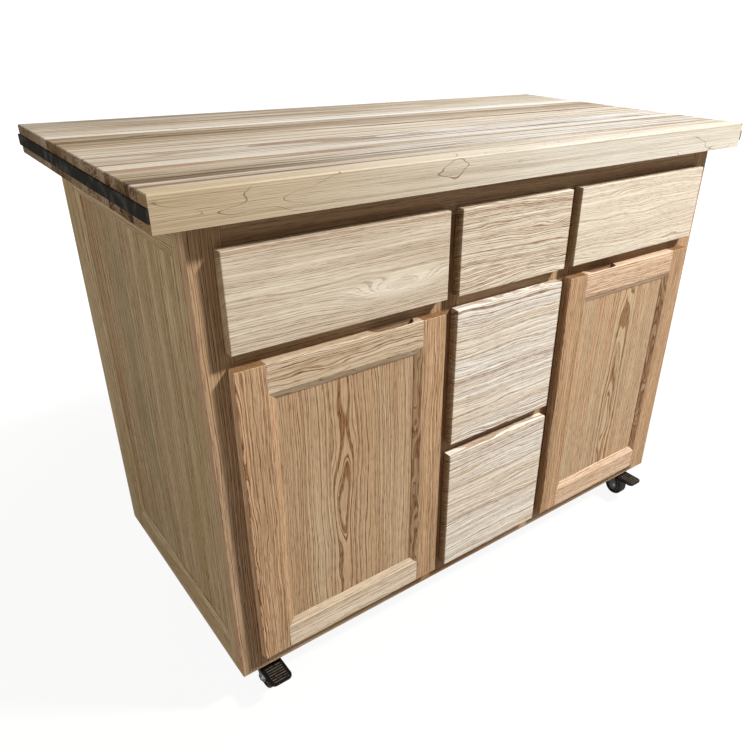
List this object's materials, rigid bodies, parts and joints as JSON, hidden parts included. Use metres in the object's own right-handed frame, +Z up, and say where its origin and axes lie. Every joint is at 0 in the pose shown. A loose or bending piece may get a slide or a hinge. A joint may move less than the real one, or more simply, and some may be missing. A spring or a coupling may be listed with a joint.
{
  "type": "kitchen island",
  "caption": "Rolling kitchen island: strip-laminated butcher block top on an oak cabinet with panelled doors, drawers on slides, shelves and swivel casters, the front ones with brake pedals",
  "frame": {"origin": "on the floor, under the centre of the top", "axes": "+X to the right along the island's length, +Y to the back, +Z up; the doors and drawers face -Y"},
  "size_m": [1.216, 0.609, 0.91],
  "materials": {
    "top_wood": "mixed hardwood strips under a satin clear coat",
    "frame_wood": "mid brown oak, bare",
    "side_wood": "olive tan oak, bare",
    "door_wood": "pinkish tan oak, bare",
    "panel_wood": "striped oak panel, bare",
    "front_wood": "cream oak, bare",
    "inner_wood": "pale plain wood, bare",
    "bar_paint": "satin charcoal paint",
    "slide_steel": "zinc plated steel",
    "caster_zinc": "bright zinc plated steel",
    "wheel_rubber": "black rubber with a plastic hub",
    "pedal_plastic": "black ribbed nylon"
  },
  "bodies": {
    "cabinet": {"top_strips": "top_wood", "end_bars": "bar_paint", "face_frame_stiles": "frame_wood", "face_frame_rails": "frame_wood", "side_stiles": "side_wood", "side_rails": "side_wood", "side_panels": "side_wood", "back_stiles": "side_wood", "back_rails": "side_wood", "back_panels": "side_wood", "partitions": "inner_wood", "bottom_panel": "inner_wood", "top_stretchers": "inner_wood", "support_blocks": "inner_wood", "shelves": "inner_wood", "shelf_pins": "slide_steel", "slide_cabinet_members": "slide_steel", "hinge_plates": "slide_steel", "caster_plates": "caster_zinc", "caster_screws": "caster_zinc"},
    "left_drawer": {"left_drawer_front": "front_wood", "left_drawer_box": "inner_wood", "left_drawer_runners": "slide_steel"},
    "left_slide_pair": {"left_drawer_slides": "slide_steel"},
    "centre_top_drawer": {"centre_top_drawer_front": "front_wood", "centre_top_drawer_box": "inner_wood", "centre_top_drawer_runners": "slide_steel"},
    "centre_top_slide_pair": {"centre_top_drawer_slides": "slide_steel"},
    "right_drawer": {"right_drawer_front": "front_wood", "right_drawer_box": "inner_wood", "right_drawer_runners": "slide_steel"},
    "right_slide_pair": {"right_drawer_slides": "slide_steel"},
    "centre_middle_drawer": {"centre_middle_drawer_front": "front_wood", "centre_middle_drawer_box": "inner_wood", "centre_middle_drawer_runners": "slide_steel"},
    "centre_middle_slide_pair": {"centre_middle_drawer_slides": "slide_steel"},
    "centre_bottom_drawer": {"centre_bottom_drawer_front": "front_wood", "centre_bottom_drawer_box": "inner_wood", "centre_bottom_drawer_runners": "slide_steel"},
    "centre_bottom_slide_pair": {"centre_bottom_drawer_slides": "slide_steel"},
    "left_door": {"left_door_stiles": "door_wood", "left_door_rails": "door_wood", "left_door_panel": "panel_wood", "left_hinge_cups": "slide_steel"},
    "left_hinge_link_pair": {"left_hinge_links": "slide_steel"},
    "right_door": {"right_door_stiles": "door_wood", "right_door_rails": "door_wood", "right_door_panel": "panel_wood", "right_hinge_cups": "slide_steel"},
    "right_hinge_link_pair": {"right_hinge_links": "slide_steel"},
    "front_left_caster": {"front_left_fork": "caster_zinc"},
    "front_left_caster_wheel": {"front_left_wheel": "wheel_rubber"},
    "front_left_brake": {"front_left_pedal": "pedal_plastic"},
    "front_right_caster": {"front_right_fork": "caster_zinc"},
    "front_right_caster_wheel": {"front_right_wheel": "wheel_rubber"},
    "front_right_brake": {"front_right_pedal": "pedal_plastic"},
    "rear_left_caster": {"rear_left_fork": "caster_zinc"},
    "rear_left_caster_wheel": {"rear_left_wheel": "wheel_rubber"},
    "rear_right_caster": {"rear_right_fork": "caster_zinc"},
    "rear_right_caster_wheel": {"rear_right_wheel": "wheel_rubber"}
  },
  "joints": [
    {"name": "left_drawer_travel", "type": "slide", "parent": "cabinet", "child": "left_drawer", "axis": [0, -1, 0], "range_m": [0, 0.4]},
    {"name": "left_drawer_slide_travel", "type": "slide", "parent": "cabinet", "child": "left_slide_pair", "axis": [0, -1, 0], "range_m": [0, 0.2]},
    {"name": "centre_top_drawer_travel", "type": "slide", "parent": "cabinet", "child": "centre_top_drawer", "axis": [0, -1, 0], "range_m": [0, 0.4]},
    {"name": "centre_top_drawer_slide_travel", "type": "slide", "parent": "cabinet", "child": "centre_top_slide_pair", "axis": [0, -1, 0], "range_m": [0, 0.2]},
    {"name": "right_drawer_travel", "type": "slide", "parent": "cabinet", "child": "right_drawer", "axis": [0, -1, 0], "range_m": [0, 0.4]},
    {"name": "right_drawer_slide_travel", "type": "slide", "parent": "cabinet", "child": "right_slide_pair", "axis": [0, -1, 0], "range_m": [0, 0.2]},
    {"name": "centre_middle_drawer_travel", "type": "slide", "parent": "cabinet", "child": "centre_middle_drawer", "axis": [0, -1, 0], "range_m": [0, 0.4]},
    {"name": "centre_middle_drawer_slide_travel", "type": "slide", "parent": "cabinet", "child": "centre_middle_slide_pair", "axis": [0, -1, 0], "range_m": [0, 0.2]},
    {"name": "centre_bottom_drawer_travel", "type": "slide", "parent": "cabinet", "child": "centre_bottom_drawer", "axis": [0, -1, 0], "range_m": [0, 0.4]},
    {"name": "centre_bottom_drawer_slide_travel", "type": "slide", "parent": "cabinet", "child": "centre_bottom_slide_pair", "axis": [0, -1, 0], "range_m": [0, 0.2]},
    {"name": "left_door_swing", "type": "hinge", "parent": "cabinet", "child": "left_door", "pos_m": [-0.52, -0.2805, 0.3895], "axis": [0, 0, -1], "range_deg": [0, 110]},
    {"name": "left_hinge_link_turn", "type": "hinge", "parent": "cabinet", "child": "left_hinge_link_pair", "pos_m": [-0.505, -0.2635, 0.3895], "axis": [0, 0, -1], "range_deg": [0, 50]},
    {"name": "right_door_swing", "type": "hinge", "parent": "cabinet", "child": "right_door", "pos_m": [0.52, -0.2805, 0.3895], "axis": [0, 0, 1], "range_deg": [0, 110]},
    {"name": "right_hinge_link_turn", "type": "hinge", "parent": "cabinet", "child": "right_hinge_link_pair", "pos_m": [0.505, -0.2635, 0.3895], "axis": [0, 0, 1], "range_deg": [0, 50]},
    {"name": "front_left_swivel", "type": "hinge", "parent": "cabinet", "child": "front_left_caster", "pos_m": [-0.502, -0.2135, 0.062], "axis": [0, 0, 1], "continuous": true},
    {"name": "front_left_wheel_spin", "type": "hinge", "parent": "front_left_caster", "child": "front_left_caster_wheel", "pos_m": [-0.502, -0.2415, 0.025], "axis": [1, 0, 0], "continuous": true},
    {"name": "front_left_pedal_press", "type": "hinge", "parent": "front_left_caster", "child": "front_left_brake", "pos_m": [-0.502, -0.2265, 0.055], "axis": [1, 0, 0], "range_deg": [0, 6]},
    {"name": "front_right_swivel", "type": "hinge", "parent": "cabinet", "child": "front_right_caster", "pos_m": [0.502, -0.2135, 0.062], "axis": [0, 0, 1], "continuous": true},
    {"name": "front_right_wheel_spin", "type": "hinge", "parent": "front_right_caster", "child": "front_right_caster_wheel", "pos_m": [0.502, -0.2415, 0.025], "axis": [1, 0, 0], "continuous": true},
    {"name": "front_right_pedal_press", "type": "hinge", "parent": "front_right_caster", "child": "front_right_brake", "pos_m": [0.502, -0.2265, 0.055], "axis": [1, 0, 0], "range_deg": [0, 6]},
    {"name": "rear_left_swivel", "type": "hinge", "parent": "cabinet", "child": "rear_left_caster", "pos_m": [-0.502, 0.2295, 0.062], "axis": [0, 0, 1], "continuous": true},
    {"name": "rear_left_wheel_spin", "type": "hinge", "parent": "rear_left_caster", "child": "rear_left_caster_wheel", "pos_m": [-0.502, 0.2015, 0.025], "axis": [1, 0, 0], "continuous": true},
    {"name": "rear_right_swivel", "type": "hinge", "parent": "cabinet", "child": "rear_right_caster", "pos_m": [0.502, 0.2295, 0.062], "axis": [0, 0, 1], "continuous": true},
    {"name": "rear_right_wheel_spin", "type": "hinge", "parent": "rear_right_caster", "child": "rear_right_caster_wheel", "pos_m": [0.502, 0.2015, 0.025], "axis": [1, 0, 0], "continuous": true}
  ],
  "couplings": [
    {"joint": "left_drawer_slide_travel", "follows": "left_drawer_travel", "ratio": 0.5},
    {"joint": "centre_top_drawer_slide_travel", "follows": "centre_top_drawer_travel", "ratio": 0.5},
    {"joint": "right_drawer_slide_travel", "follows": "right_drawer_travel", "ratio": 0.5},
    {"joint": "centre_middle_drawer_slide_travel", "follows": "centre_middle_drawer_travel", "ratio": 0.5},
    {"joint": "centre_bottom_drawer_slide_travel", "follows": "centre_bottom_drawer_travel", "ratio": 0.5},
    {"joint": "left_hinge_link_turn", "follows": "left_door_swing", "ratio": 0.45},
    {"joint": "right_hinge_link_turn", "follows": "right_door_swing", "ratio": 0.45}
  ]
}
